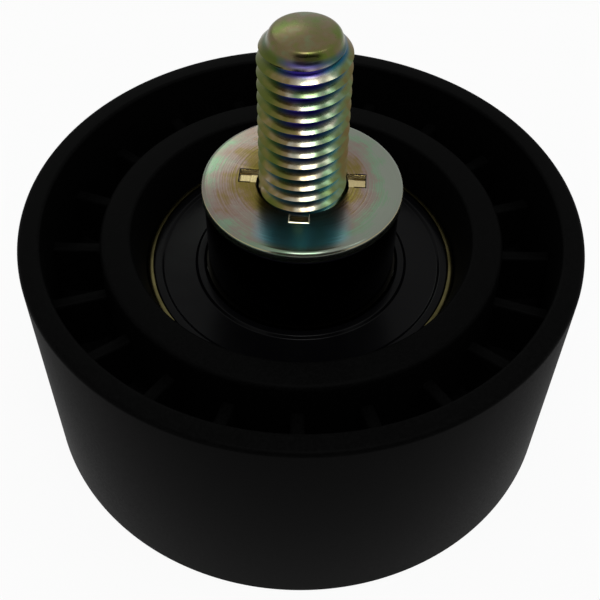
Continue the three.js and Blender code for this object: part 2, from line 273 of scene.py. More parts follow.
# %% [markdown]
# The pulley is injection moulded in nylon 66 filled with glass fibre. The mould leaves a satin black skin
# with a very fine orange peel, in which fibres near the surface show as slightly rougher flecks. In the
# photograph it is so dark that only its edges show, so its reflection is kept low.

# %% Finish: moulded glass-filled nylon
FIBRE_FLECK = 0.35 * MM
ORANGE_PEEL = 1.2 * MM
PEEL_DEPTH = 0.03 * MM

nylon, tree = new_finish("moulded_glass_filled_nylon")
place = add(tree, "ShaderNodeTexCoord").outputs["Object"]
flecks = add(tree, "ShaderNodeTexNoise", {"Vector": place, "Scale": 1 / FIBRE_FLECK, "Detail": 2})
peel = add(tree, "ShaderNodeTexNoise", {"Vector": place, "Scale": 1 / ORANGE_PEEL, "Detail": 1})
rough = add(tree, "ShaderNodeMapRange", {"Value": flecks.outputs[0], "To Min": 0.42, "To Max": 0.62})
tone = add(tree, "ShaderNodeValToRGB", {"Fac": flecks.outputs[0]}, [(0.35, "030303"), (0.75, "070707")])
skin = add(tree, "ShaderNodeBump", {"Height": peel.outputs[0], "Strength": 0.25, "Distance": PEEL_DEPTH})
coat(tree, add(tree, "ShaderNodeBsdfPrincipled", {
    "Base Color": tone.outputs[0], "Roughness": rough.outputs[0], "Normal": skin.outputs[0],
    "IOR": 1.53, "Specular IOR Level": 0.012}))

# %% [markdown]
# The pulley's outline is a thin rim that the belt runs on, a web at mid width and a hub that holds the
# bearing. It is one closed outline, swept round the axis. The outside is left dead straight, because this
# pulley carries the smooth back of a belt.

# %% Pulley body
RIM_WALL = 3.25 * MM
RIM_ROUND = 0.75 * MM
MOUTH_ROUND = 0.55 * MM
MOULD_DRAFT = 0.55 * MM
WEB_THICKNESS = 4.4 * MM
WEB_ROUND = 1.5 * MM
PRESS_GAP = 0.1 * MM
HUB_WALL = 6.25 * MM
HUB_SETBACK = 2.2 * MM
HUB_ROUND = 0.85 * MM
HUB_MOUTH_FLARE = 1.8 * MM
SEAT_LEAD = 1.1 * MM
SHOULDER_LAP = 2 * MM
SHOULDER_THICKNESS = 2.6 * MM
SEAT_GAP = 0.05 * MM

mouth_radius = pulley_radius - RIM_WALL
seat_radius = ring_radius + PRESS_GAP
hub_radius = seat_radius + HUB_WALL
web_top = (pulley_width + WEB_THICKNESS) / 2
hub_front = pulley_width - HUB_SETBACK
shoulder_radius = ring_radius - SHOULDER_LAP

front_half = [
    (pulley_radius, pulley_width, RIM_ROUND),
    (mouth_radius, pulley_width, MOUTH_ROUND),
    (mouth_radius - MOULD_DRAFT, web_top, WEB_ROUND),
    (hub_radius + MOULD_DRAFT, web_top, WEB_ROUND),
    (hub_radius, hub_front, HUB_ROUND),
    (seat_radius + HUB_MOUTH_FLARE, hub_front, MOUTH_ROUND),
]
bore = [
    (seat_radius, bearing_front + SEAT_LEAD, 0),
    (seat_radius, bearing_rear - SEAT_GAP, 0),
    (shoulder_radius, bearing_rear - SEAT_GAP, 0),
    (shoulder_radius, bearing_rear - SHOULDER_THICKNESS, 0),
]
rear_half = [(r, pulley_width - z, fillet) for r, z, fillet in reversed(front_half)]
pulley_body = turned("pulley_body", [*front_half, *bore, *rear_half])

# %% [markdown]
# Twenty ribs stiffen the rim against the belt. They are one plate, repeated round the axis by Geometry Nodes:
# the tree takes the plate and a count, so the same tree serves whatever else repeats round a centre.

# %% Geometry Nodes: copies round the axis
def around_tree():
    """A tree that repeats an object round the spin axis."""
    tree = bpy.data.node_groups.new("copies_round_axis", "GeometryNodeTree")
    tree.interface.new_socket("Piece", in_out="INPUT", socket_type="NodeSocketObject")
    tree.interface.new_socket("Count", in_out="INPUT", socket_type="NodeSocketInt")
    tree.interface.new_socket("First Turn", in_out="INPUT", socket_type="NodeSocketFloat")
    tree.interface.new_socket("Finish", in_out="INPUT", socket_type="NodeSocketMaterial")
    tree.interface.new_socket("Copies", in_out="OUTPUT", socket_type="NodeSocketGeometry")
    given = add(tree, "NodeGroupInput").outputs
    piece = add(tree, "GeometryNodeObjectInfo", {"Object": given["Piece"]})
    points = add(tree, "GeometryNodePoints", {"Count": given["Count"]})
    index = add(tree, "GeometryNodeInputIndex")
    step = add(tree, "ShaderNodeMath", {0: math.tau, 1: given["Count"]}, operation="DIVIDE")
    turn = add(tree, "ShaderNodeMath", {0: index.outputs[0], 1: step.outputs[0], 2: given["First Turn"]},
               operation="MULTIPLY_ADD")
    spin = add(tree, "ShaderNodeCombineXYZ", {"Z": turn.outputs[0]})
    copies = add(tree, "GeometryNodeInstanceOnPoints", {
        "Points": points.outputs[0], "Instance": piece.outputs["Geometry"], "Rotation": spin.outputs[0]})
    solid = add(tree, "GeometryNodeRealizeInstances", {"Geometry": copies.outputs[0]})
    finish = add(tree, "GeometryNodeSetMaterial", {
        "Geometry": solid.outputs[0], "Material": given["Finish"]})
    add(tree, "NodeGroupOutput", {"Copies": finish.outputs[0]})
    return tree


def plain_mesh(piece):
    """A plain mesh of what a piece's modifier or its curve makes."""
    bpy.context.view_layer.update()
    evaluated = piece.evaluated_get(bpy.context.evaluated_depsgraph_get())
    return bpy.data.meshes.new_from_object(evaluated)


def made_by(tree, name, **inputs):
    """The plain mesh object that a tree makes from its named inputs."""
    holder = bpy.data.objects.new(name, bpy.data.meshes.new(name))
    bpy.context.scene.collection.objects.link(holder)
    modifier = holder.modifiers.new(tree.name, "NODES")
    modifier.node_group = tree
    for socket in tree.interface.items_tree:
        if socket.in_out == "INPUT" and socket.name in inputs:
            modifier[socket.identifier] = inputs[socket.name]
    mesh = plain_mesh(holder)
    holder.modifiers.clear()
    holder.data = mesh
    return holder


copies_round_axis = around_tree()
print(f"{copies_round_axis.name}: {len(copies_round_axis.nodes)} nodes")

# %% [markdown]
# The rib's plate runs through the web, so one copy stands in the front recess and in the rear one. Its edges
# are rounded, as the cutter of the mould leaves them, and its ends run into rim and hub.

# %% Ribs
RIB_COUNT = 20
RIB_THICKNESS = 2 * MM
RIB_SETBACK = 7.6 * MM
RIB_ROUND = 0.55 * MM
EDGE_SEGMENTS = 3
ROUND_PROFILE = 0.5


def block(name, low, high, edge=0.0):
    """A box between two corners, with its edges rounded if an edge is given."""
    form = bmesh.new()
    bmesh.ops.create_cube(form, size=1)
    low, high = Vector(low), Vector(high)
    bmesh.ops.scale(form, vec=high - low, verts=form.verts)
    bmesh.ops.translate(form, vec=(low + high) / 2, verts=form.verts)
    if edge:
        bmesh.ops.bevel(form, geom=form.edges, offset=edge, segments=EDGE_SEGMENTS, affect="EDGES",
                        profile=ROUND_PROFILE)
    mesh = bpy.data.meshes.new(name)
    form.to_mesh(mesh)
    form.free()
    return finished(bpy.data.objects.new(name, mesh))


rib = block("rib", (hub_radius - MOULD_DRAFT, -RIB_THICKNESS / 2, RIB_SETBACK),
            (mouth_radius + MOULD_DRAFT, RIB_THICKNESS / 2, pulley_width - RIB_SETBACK), RIB_ROUND)
ribs = made_by(copies_round_axis, "ribs", Piece=rib, Count=RIB_COUNT, Finish=nylon)
bpy.data.objects.remove(rib)
pulley = joined("pulley_moulding", [pulley_body, ribs])
dress(pulley, nylon, "pulley", "black_nylon", "pulley")

# %% [markdown]
# The bearing's outer ring shows only as a thin sliver, where its rounded corner catches the light beside the
# seal. Bearing rings are through-hardened steel, ground in circles, and here they carry a film of oil that
# gives them an olive cast. The grinding lines are drawn coarser than they are, so that they show. Near the
# axis the steel is painted dark: painted shade on the inner ring, down between the collar and the seal.

# %% Finish: ground bearing steel
GRIND_SPACING = 0.12 * MM
GRIND_DEPTH = 0.01 * MM
OIL_PATCH = 4 * MM
SHADE_REACH = 16 * MM
SHADE_FADE = 2 * MM

ground, tree = new_finish("ground_bearing_steel")
place = add(tree, "ShaderNodeTexCoord").outputs["Object"]
radius = off_axis(tree, place)
lines = add(tree, "ShaderNodeTexNoise", {
    "W": radius, "Scale": 1 / GRIND_SPACING, "Detail": 1}, noise_dimensions="1D")
film = add(tree, "ShaderNodeTexNoise", {"Vector": place, "Scale": 1 / OIL_PATCH, "Detail": 3})
tone = add(tree, "ShaderNodeValToRGB", {"Fac": film.outputs[0]}, [(0.3, "3a361f"), (0.7, "554f33")])
# Within this reach of the axis the steel is painted near black, as painted shade.
unshaded = add(tree, "ShaderNodeMapRange", {
    "Value": radius, "From Min": SHADE_REACH, "From Max": SHADE_REACH + SHADE_FADE})
steel = add(tree, "ShaderNodeMix", {
    0: unshaded.outputs[0], 6: linear("0e0d0a"), 7: tone.outputs[0]}, data_type="RGBA")
grain = add(tree, "ShaderNodeBump", {"Height": lines.outputs[0], "Strength": 0.2, "Distance": GRIND_DEPTH})
coat(tree, add(tree, "ShaderNodeBsdfPrincipled", {
    "Base Color": steel.outputs[2], "Metallic": 1, "Roughness": 0.3, "Normal": grain.outputs[0]}))

# %% [markdown]
# Little of the rings shows, but both are dressed whole, with their races and seal seats, so that an opened
# bearing looks right too. A race is an arc a little wider than the ball. The rings' outer corners are
# rounded, so that they slip into their seats.

# %% Bearing rings
RING_ROUND = 0.6 * MM
SEAL_SEAT_WALL = 0.9 * MM
SEAL_SEAT_DEPTH = 1.4 * MM
BEARING_BORE_RADIUS = 10 * MM
RACE_GAP = 0.3 * MM
RACE_POINTS = 12

bearing_middle = (bearing_front + bearing_rear) / 2
pitch_radius = (ring_radius + BEARING_BORE_RADIUS) / 2
race_radius = reach("bearing_ball_1") - pitch_radius + RACE_GAP
inner_land = reach("bearing_inner_ring")
outer_land = 2 * pitch_radius - inner_land
seal_seat = ring_radius - SEAL_SEAT_WALL


def race(land, side):
    """The arc of a ball race between a ring's two lands. Side is 1 in the outer ring and -1 in the inner."""
    half = math.acos(abs(land - pitch_radius) / race_radius)
    points = []
    for angle in np.linspace(half, -half, RACE_POINTS):
        out, up = side * race_radius * math.cos(angle), side * race_radius * math.sin(angle)
        points.append((pitch_radius + out, bearing_middle + up, 0))
    return points


outer_ring = turned("outer_ring", [
    (ring_radius, bearing_front, RING_ROUND), (seal_seat, bearing_front, 0),
    (seal_seat, bearing_front - SEAL_SEAT_DEPTH, 0), (outer_land, bearing_front - SEAL_SEAT_DEPTH, 0),
    *race(outer_land, 1),
    (outer_land, bearing_rear + SEAL_SEAT_DEPTH, 0), (seal_seat, bearing_rear + SEAL_SEAT_DEPTH, 0),
    (seal_seat, bearing_rear, 0), (ring_radius, bearing_rear, RING_ROUND)])
dress(outer_ring, ground, "pulley", "bearing_steel", "bearing_outer_ring")
inner_ring = turned("inner_ring", [
    *race(inner_land, -1),
    (inner_land, bearing_front, 0), (BEARING_BORE_RADIUS, bearing_front, RING_ROUND),
    (BEARING_BORE_RADIUS, bearing_rear, RING_ROUND), (inner_land, bearing_rear, 0)])
dress(inner_ring, ground, "hub", "bearing_steel", "bearing_inner_ring")

# %% [markdown]
# A contact seal is nitrile rubber moulded over a steel disc. The mould is polished, so the rubber is glossy,
# and in the photograph it mirrors the collar that stands in it. Wax that blooms out of the rubber dulls it in
# patches.

# %% Finish: moulded nitrile rubber
BLOOM_PATCH = 3 * MM

rubber, tree = new_finish("moulded_nitrile_rubber")
place = add(tree, "ShaderNodeTexCoord").outputs["Object"]
bloom = add(tree, "ShaderNodeTexNoise", {"Vector": place, "Scale": 1 / BLOOM_PATCH, "Detail": 4})
rough = add(tree, "ShaderNodeMapRange", {"Value": bloom.outputs[0], "To Min": 0.12, "To Max": 0.3})
coat(tree, add(tree, "ShaderNodeBsdfPrincipled", {
    "Base Color": linear("040405"), "Roughness": rough.outputs[0], "IOR": 1.5, "Specular IOR Level": 0.05}))

# %% [markdown]
# The seal's section has a bead that snaps into the ring, a dished field and a lip that wipes the inner ring.
# The rear seal is the same outline turned over.

# %% Seals
SEAL_BEAD = 1.2 * MM
SEAL_LIP = 1.1 * MM
SEAL_DISH = 0.4 * MM
SEAL_ROUND = 0.25 * MM
LIP_GAP = 0.3 * MM


def seal(name, outer_face, inner_face):
    """A seal between two heights, the first one facing out of the bearing."""
    outer, inner = reach("front_seal"), inner_land + LIP_GAP
    out = math.copysign(1, outer_face - inner_face)
    dish = outer_face - out * SEAL_DISH
    outline = [
        (outer, inner_face, 0), (outer, outer_face, SEAL_ROUND), (outer - SEAL_BEAD, outer_face, SEAL_ROUND),
        (outer - SEAL_BEAD - SEAL_DISH, dish, SEAL_ROUND), (inner + SEAL_LIP + SEAL_DISH, dish, SEAL_ROUND),
        (inner + SEAL_LIP, outer_face, SEAL_ROUND), (inner, outer_face, SEAL_ROUND), (inner, inner_face, 0)]
    return turned(name, outline)


front_seal = seal("front_seal_moulding", top("front_seal"), bottom("front_seal"))
rear_seal = seal("rear_seal_moulding", bottom("rear_seal"), top("rear_seal"))
dress(front_seal, rubber, "pulley", "seal_rubber", "front_seal")
dress(rear_seal, rubber, "pulley", "seal_rubber", "rear_seal")

# %% [markdown]
# The bush is turned steel, oil blackened: a thin black oxide over fine turning marks. It is nearly as dark as
# the nylon, but its highlights are sharp and slightly violet. The marks follow the tool's feed along the
# axis.

# %% Finish: blackened turned steel
BUSH_FEED = 0.15 * MM
FEED_DEPTH = 0.01 * MM
BLACKING_PATCH = 5 * MM

blackened, tree = new_finish("oil_blackened_steel")
place = add(tree, "ShaderNodeTexCoord").outputs["Object"]
height = add(tree, "ShaderNodeSeparateXYZ", {0: place})
feed = add(tree, "ShaderNodeTexNoise", {
    "W": height.outputs["Z"], "Scale": 1 / BUSH_FEED, "Detail": 1}, noise_dimensions="1D")
oil = add(tree, "ShaderNodeTexNoise", {"Vector": place, "Scale": 1 / BLACKING_PATCH, "Detail": 3})
tone = add(tree, "ShaderNodeValToRGB", {"Fac": oil.outputs[0]}, [(0.3, "0b0a10"), (0.7, "15131c")])
marks = add(tree, "ShaderNodeBump", {"Height": feed.outputs[0], "Strength": 0.15, "Distance": FEED_DEPTH})
coat(tree, add(tree, "ShaderNodeBsdfPrincipled", {
    "Base Color": tone.outputs[0], "Metallic": 1, "Roughness": 0.22, "Normal": marks.outputs[0]}))

# %% [markdown]
# The bush is one turned piece: a spigot through the bearing's inner ring, a shoulder on it, and a collar that
# lifts the washer clear of the pulley.

# %% Bush
BOLT_RADIUS = 6.22 * MM
BUSH_PLAY = 0.6 * MM
BUSH_ROUND = 0.45 * MM

bush_top, bush_bottom = top("hub_bush"), bottom("hub_bush")
collar_radius = reach("hub_bush")
bush_bore = BOLT_RADIUS + BUSH_PLAY
spigot_radius = BEARING_BORE_RADIUS - PRESS_GAP
shoulder = bearing_front + SEAT_GAP
bush = turned("bush", [
    (bush_bore, bush_bottom, 0), (spigot_radius, bush_bottom, BUSH_ROUND), (spigot_radius, shoulder, 0),
    (collar_radius, shoulder, 0), (collar_radius, bush_top, BUSH_ROUND), (bush_bore, bush_top, 0)])
dress(bush, blackened, "hub", "black_steel", "hub_bush")

# %% [markdown]
# Washer and bolt are zinc plated and yellow passivated. The passivation is a film a few hundred nanometres
# thick, and where it thins or thickens it turns from gold to pink, green and teal. A ramp of those tints,
# read along a slow noise, gives that drift. The washer's face was also turned, so fine rings cover it, drawn
# a little coarser than they are.

# %% Finish: passivated zinc on a turned face
TURN_SPACING = 0.28 * MM
TURN_DEPTH = 0.03 * MM
WASHER_TINT_PATCH = 5 * MM
WASHER_PLAY = 0.4 * MM
TINT_PER_METRE = 13

washer_radius = reach("retaining_washer")
washer_bore = BOLT_RADIUS + WASHER_PLAY
washer_zinc, tree = new_finish("yellow_passivated_zinc_turned")
place = add(tree, "ShaderNodeTexCoord").outputs["Object"]
axes = add(tree, "ShaderNodeSeparateXYZ", {0: place}).outputs
radius = off_axis(tree, place)
rings = add(tree, "ShaderNodeTexNoise", {
    "W": radius, "Scale": 1 / TURN_SPACING, "Detail": 1.5, "Roughness": 0.6}, noise_dimensions="1D")
drift = add(tree, "ShaderNodeTexNoise", {
    "Vector": place, "Scale": 1 / WASHER_TINT_PATCH, "Detail": 3, "Roughness": 0.6})
outward = add(tree, "ShaderNodeMapRange", {
    "Value": radius, "From Min": washer_bore, "From Max": washer_radius, "To Min": -0.3, "To Max": 0.3})
film = add(tree, "ShaderNodeMath", {0: drift.outputs[0], 1: outward.outputs[0]}, operation="ADD")
side = add(tree, "ShaderNodeMath", {
    0: axes["X"], 1: TINT_PER_METRE, 2: film.outputs[0]}, operation="MULTIPLY_ADD")
fine = add(tree, "ShaderNodeMath", {
    0: rings.outputs[0], 1: 0.3, 2: side.outputs[0]}, operation="MULTIPLY_ADD")
round_face = add(tree, "ShaderNodeValToRGB", {"Fac": fine.outputs[0]}, [
    (0.3, "5c5122"), (0.44, "645634"), (0.58, "70605a"), (0.74, "6e6a60"), (0.86, "647863"), (1, "6f746a")])

# %% [markdown]
# In front of the stud, where the washer mirrors the stud and the dark room, a deep teal is painted in as a
# painted reflection. One soft patch gives that: it comes up over a few millimetres of the front, fades to
# both sides and ends short of the rim.

# %% Painted reflection on the washer's front
TEAL_START = 5 * MM
TEAL_FULL = 10 * MM
TEAL_HALF = 4 * MM
TEAL_SIDE_END = 7 * MM
TEAL_RIM_START = 1.8 * MM
TEAL_RIM_END = 0.8 * MM

nearer = add(tree, "ShaderNodeMapRange", {
    "Value": axes["Y"], "From Min": -TEAL_START, "From Max": -TEAL_FULL, "To Max": 0.8})
off_middle = add(tree, "ShaderNodeMath", {0: axes["X"]}, operation="ABSOLUTE")
middle = add(tree, "ShaderNodeMapRange", {
    "Value": off_middle.outputs[0], "From Min": TEAL_HALF, "From Max": TEAL_SIDE_END,
    "To Min": 1, "To Max": 0})
short_of_rim = add(tree, "ShaderNodeMapRange", {
    "Value": radius, "From Min": washer_radius - TEAL_RIM_START, "From Max": washer_radius - TEAL_RIM_END,
    "To Min": 1, "To Max": 0})
in_front = add(tree, "ShaderNodeMath", {0: nearer.outputs[0], 1: middle.outputs[0]}, operation="MULTIPLY")
painted_teal_reflection = add(tree, "ShaderNodeMath", {
    0: in_front.outputs[0], 1: short_of_rim.outputs[0]}, operation="MULTIPLY")
# The teal patch is a painted reflection of the stud in the washer's front.
tint = add(tree, "ShaderNodeMix", {
    0: painted_teal_reflection.outputs[0], 6: round_face.outputs[0], 7: linear("4996a4")}, data_type="RGBA")

# %% [markdown]
# A punch tears the film off, so its pockets are bare, with dull floors. Their walls are painted bright as a
# painted highlight, and painted shade darkens the walls' upper edges. The burrs round the pockets get a
# painted highlight at the front and painted shade elsewhere. All are picked out by height and by how steeply
# the surface stands. Each is a layer that covers those before it.

# %% Punched pockets in the washer's finish
STAKE_DEPTH = 0.55 * MM
STAKE_OUTER = 9.05 * MM
STAKE_OFFSET = 0.65 * MM
BURR_RADIUS = 0.13 * MM
WALL_SHADE_DEPTH = 0.1 * MM
LEVEL_FROM = 0.6
STEEP_BELOW = 0.3

upright = add(tree, "ShaderNodeSeparateXYZ", {
    0: add(tree, "ShaderNodeNewGeometry").outputs["True Normal"]}).outputs["Z"]
near = add(tree, "ShaderNodeMath", {0: radius, 1: STAKE_OUTER + 2 * STAKE_OFFSET}, operation="LESS_THAN")
sunk = add(tree, "ShaderNodeMath", {0: axes["Z"], 1: washer_top - STAKE_DEPTH / 2}, operation="LESS_THAN")
level = add(tree, "ShaderNodeMath", {0: upright, 1: LEVEL_FROM}, operation="GREATER_THAN")
floors = add(tree, "ShaderNodeMath", {0: sunk.outputs[0], 1: level.outputs[0]}, operation="MULTIPLY")
steep = add(tree, "ShaderNodeMath", {0: upright, 1: STEEP_BELOW}, operation="LESS_THAN")
walls = add(tree, "ShaderNodeMath", {0: steep.outputs[0], 1: near.outputs[0]}, operation="MULTIPLY")
at_edge = add(tree, "ShaderNodeMath", {0: axes["Z"], 1: washer_top - WALL_SHADE_DEPTH}, operation="GREATER_THAN")
painted_wall_shade = add(tree, "ShaderNodeMath", {0: walls.outputs[0], 1: at_edge.outputs[0]}, operation="MULTIPLY")
raised = add(tree, "ShaderNodeMath", {
    0: axes["Z"], 1: washer_top + BURR_RADIUS / 8}, operation="GREATER_THAN")
# The burrs get a painted highlight at the front of the washer and painted shade everywhere else.
lit_front = add(tree, "ShaderNodeMath", {0: axes["Y"], 1: -washer_bore / 2}, operation="LESS_THAN")
burr_highlight_and_shade = add(tree, "ShaderNodeMix", {
    0: lit_front.outputs[0], 6: linear("100e0a"), 7: linear("d8d0b4")}, data_type="RGBA")
# Floors are bare zinc; walls get a painted highlight, and their upper edges painted shade.
layers = ((floors, linear("a3946c")), (walls, linear("e8e2cc")), (painted_wall_shade, linear("100e0a")),
          (raised, burr_highlight_and_shade.outputs[2]))
for where, colour in layers:
    tint = add(tree, "ShaderNodeMix", {
        0: where.outputs[0], 6: tint.outputs[2], 7: colour}, data_type="RGBA")

# %% [markdown]
# A turned face draws a highlight out one way only. So the washer's gloss is anisotropic, with a tangent that
# runs round the axis, and a quarter turn of it gives the highlight its direction.

# %% Gloss of the turned face
rough = add(tree, "ShaderNodeMapRange", {"Value": rings.outputs[0], "To Min": 0.16, "To Max": 0.26})
marks = add(tree, "ShaderNodeBump", {"Height": rings.outputs[0], "Strength": 0.4, "Distance": TURN_DEPTH})
circle = add(tree, "ShaderNodeTangent", direction_type="RADIAL", axis="Z")
coat(tree, add(tree, "ShaderNodeBsdfPrincipled", {
    "Base Color": tint.outputs[2], "Metallic": 1, "Roughness": rough.outputs[0], "Normal": marks.outputs[0],
    "Anisotropic": 0.7, "Anisotropic Rotation": 0.25, "Tangent": circle.outputs[0]}))
print(f"{washer_zinc.name}: {len(tree.nodes)} nodes")

# %% [markdown]
# Four punched stakes close the washer's bore on the thread, so that the bolt can't fall out before it is
# fitted. Each punch leaves a sharp rectangular pocket, open to the bore, with a burr pushed up round it. The
# pockets are cut by a boolean, because their corners have to be sharp in an otherwise round piece.

# %% Washer
WASHER_EDGE = 0.65 * MM
WASHER_UNDER_EDGE = 0.3 * MM
WASHER_BORE_EDGE = 0.1 * MM
STAKE_COUNT = 4
STAKE_TURN = math.radians(-2.5)
STAKE_WIDTH = 2.7 * MM

off_centre = Matrix.Translation((0, STAKE_OFFSET, 0))
washer = turned("washer", [
    (washer_bore, washer_bottom, 0), (washer_radius, washer_bottom, WASHER_UNDER_EDGE),
    (washer_radius, washer_top, WASHER_EDGE), (washer_bore, washer_top, WASHER_BORE_EDGE)])
punch = block("punch", (washer_bore / 2, -STAKE_WIDTH / 2, washer_top - STAKE_DEPTH),
              (STAKE_OUTER, STAKE_WIDTH / 2, washer_top + STAKE_DEPTH))
punches = made_by(copies_round_axis, "punches", Piece=punch, Count=STAKE_COUNT, **{"First Turn": STAKE_TURN})
punches.data.transform(off_centre)
cut = washer.modifiers.new("stakes", "BOOLEAN")
cut.object = punches
cut.operation = "DIFFERENCE"
washer.data = plain_mesh(washer)
washer.modifiers.clear()
for tool in (punch, punches):
    bpy.data.objects.remove(tool)
print(f"washer with {STAKE_COUNT} pockets: {len(washer.data.polygons)} faces")

# %% [markdown]
# A burr is a thin bead of metal along the three closed sides of a pocket. A curve with a round bevel makes
# it, and the tree that repeated the ribs repeats it too.

# %% Burrs
BURR_STEPS = 2


def burr():
    """A round strip along the three closed sides of one pocket."""
    curve = bpy.data.curves.new("burr", "CURVE")
    curve.dimensions = "3D"
    curve.bevel_depth = BURR_RADIUS
    curve.bevel_resolution = BURR_STEPS
    curve.use_fill_caps = True
    start, half = washer_bore + STAKE_OFFSET + BURR_RADIUS, STAKE_WIDTH / 2
    path = [(start, -half), (STAKE_OUTER, -half), (STAKE_OUTER, half), (start, half)]
    line = curve.splines.new("POLY")
    line.points.add(len(path) - 1)
    for point, (x, y) in zip(line.points, path):
        point.co = (x, y, washer_top - BURR_RADIUS / 2, 1)
    holder = bpy.data.objects.new("burr", curve)
    bpy.context.scene.collection.objects.link(holder)
    mesh = plain_mesh(holder)
    bpy.data.objects.remove(holder)
    return finished(bpy.data.objects.new("burr", mesh))


one_burr = burr()
burrs = made_by(copies_round_axis, "burrs", Piece=one_burr, Count=STAKE_COUNT, Finish=washer_zinc,
                **{"First Turn": STAKE_TURN})
burrs.data.transform(off_centre)
bpy.data.objects.remove(one_burr)
washer = joined("staked_washer", [washer, burrs])
dress(washer, washer_zinc, "hub", "washer_zinc", "retaining_washer")

# %% [markdown]
# The bolt has the same film, on a surface that was rolled and not turned. Across the stud its crests drift
# from olive on the left to pale gold in the middle, then green, and brown on the right. The pale middle is
# partly a painted highlight, where the key lamp flashes on the stud's front.

# %% Finish: passivated zinc on a rolled thread
BOLT_TINT_PATCH = 6 * MM
BOLT_SIDE = 6 * MM

bolt_zinc, tree = new_finish("yellow_passivated_zinc_rolled")
place = add(tree, "ShaderNodeTexCoord").outputs["Object"]
axes = add(tree, "ShaderNodeSeparateXYZ", {0: place}).outputs
drift = add(tree, "ShaderNodeTexNoise", {
    "Vector": place, "Scale": 1 / BOLT_TINT_PATCH, "Detail": 3, "Roughness": 0.6})
side = add(tree, "ShaderNodeMapRange", {
    "Value": axes["X"], "From Min": -BOLT_SIDE, "From Max": BOLT_SIDE, "To Min": -0.3, "To Max": 0.3})
film = add(tree, "ShaderNodeMath", {0: drift.outputs[0], 1: side.outputs[0]}, operation="ADD")
# The pale stop in the middle of the row is partly a painted highlight where the key lamp falls.
crest = add(tree, "ShaderNodeValToRGB", {"Fac": film.outputs[0]}, [
    (0.2, "464d20"), (0.32, "5b552c"), (0.41, "6e6044"), (0.5, "969182"), (0.59, "62745c"), (0.67, "55623f"),
    (0.77, "5a5230"), (0.94, "5e4a2a")])

# %% [markdown]
# The roots get less zinc and less passivation than the crests, and their tints are darker still, as painted
# shade in the thread's grooves. They run from olive and green on the left to blue and teal on the right, and
# the lower they lie, the further along that row they are. In the middle, towards the tip, they turn violet: a
# painted fringe above the key lamp's highlight on the flanks of the stud's front.

# %% Tints of the thread's roots, with painted shade and a painted violet fringe
VIOLET_HALF = 1.2 * MM
VIOLET_SIDE_END = 3.6 * MM
VIOLET_START = 4 * MM
VIOLET_FULL = 15 * MM

low = add(tree, "ShaderNodeMapRange", {
    "Value": axes["Z"], "From Min": washer_top, "From Max": bolt_tip, "To Min": 0.26, "To Max": 0})
sunk = add(tree, "ShaderNodeMath", {0: film.outputs[0], 1: low.outputs[0]}, operation="ADD")
# The roots' dark tints are painted shade in the thread's grooves.
dark = add(tree, "ShaderNodeValToRGB", {"Fac": sunk.outputs[0]}, [
    (0.2, "38401c"), (0.36, "2a421e"), (0.48, "1a4430"), (0.6, "124450"), (0.74, "144462"), (0.88, "1c6c7e"),
    (1, "1a5a4a")])
off_middle = add(tree, "ShaderNodeMath", {0: axes["X"]}, operation="ABSOLUTE")
middle = add(tree, "ShaderNodeMapRange", {
    "Value": off_middle.outputs[0], "From Min": VIOLET_HALF, "From Max": VIOLET_SIDE_END,
    "To Min": 1, "To Max": 0})
upper = add(tree, "ShaderNodeMapRange", {
    "Value": axes["Z"], "From Min": washer_top + VIOLET_START, "From Max": washer_top + VIOLET_FULL})
# Violet is painted in the middle of the stud's front, as a fringe round the key lamp's highlight.
painted_violet_fringe = add(tree, "ShaderNodeMath", {0: middle.outputs[0], 1: upper.outputs[0]}, operation="MULTIPLY")
root = add(tree, "ShaderNodeMix", {
    0: painted_violet_fringe.outputs[0], 6: dark.outputs[0], 7: linear("30247e")}, data_type="RGBA")

# %% [markdown]
# Crests and roots are told apart by the distance to the axis. The tip and the head have neither, so they get
# plain tints of the same film. The crests are glossy, because handling keeps them wiped, and the roots dull.

# %% Where each tint lies, and the bolt's gloss
ROOT_RADIUS = 5.02 * MM
THREAD_LENGTH = 32.85 * MM
FLANK_START = 0.05 * MM
FLANK_END = 0.45 * MM
TIP_START = 2.3 * MM
TIP_FULL = 1.4 * MM
HEAD_MARGIN = 1 * MM
GRAIN_SIZE = 0.4 * MM
GRAIN_DEPTH = 0.02 * MM

lift = add(tree, "ShaderNodeMapRange", {
    "Value": off_axis(tree, place), "From Min": ROOT_RADIUS + FLANK_START,
    "From Max": BOLT_RADIUS - FLANK_END}, interpolation_type="SMOOTHSTEP")
rolled = add(tree, "ShaderNodeMix", {
    0: lift.outputs[0], 6: root.outputs[2], 7: crest.outputs[0]}, data_type="RGBA")
plain = add(tree, "ShaderNodeValToRGB", {"Fac": drift.outputs[0]}, [
    (0.4, "4f5a26"), (0.5, "60543c"), (0.6, "586648")])
tip = add(tree, "ShaderNodeMapRange", {
    "Value": axes["Z"], "From Min": bolt_tip - TIP_START, "From Max": bolt_tip - TIP_FULL})
head = add(tree, "ShaderNodeMath", {
    0: axes["Z"], 1: bolt_tip - THREAD_LENGTH - HEAD_MARGIN}, operation="LESS_THAN")
end = add(tree, "ShaderNodeMath", {0: tip.outputs[0], 1: head.outputs[0]}, operation="MAXIMUM")
tint = add(tree, "ShaderNodeMix", {
    0: end.outputs[0], 6: rolled.outputs[2], 7: plain.outputs[0]}, data_type="RGBA")
grain = add(tree, "ShaderNodeTexNoise", {"Vector": place, "Scale": 1 / GRAIN_SIZE, "Detail": 2})
worn = add(tree, "ShaderNodeMapRange", {"Value": lift.outputs[0], "To Min": 0.34, "To Max": 0.15})
dull = add(tree, "ShaderNodeMix", {"Factor": end.outputs[0], "A": worn.outputs[0], "B": 0.24})
rough = add(tree, "ShaderNodeMath", {
    0: grain.outputs[0], 1: 0.1, 2: dull.outputs[0]}, operation="MULTIPLY_ADD")
marks = add(tree, "ShaderNodeBump", {"Height": grain.outputs[0], "Strength": 0.12, "Distance": GRAIN_DEPTH})
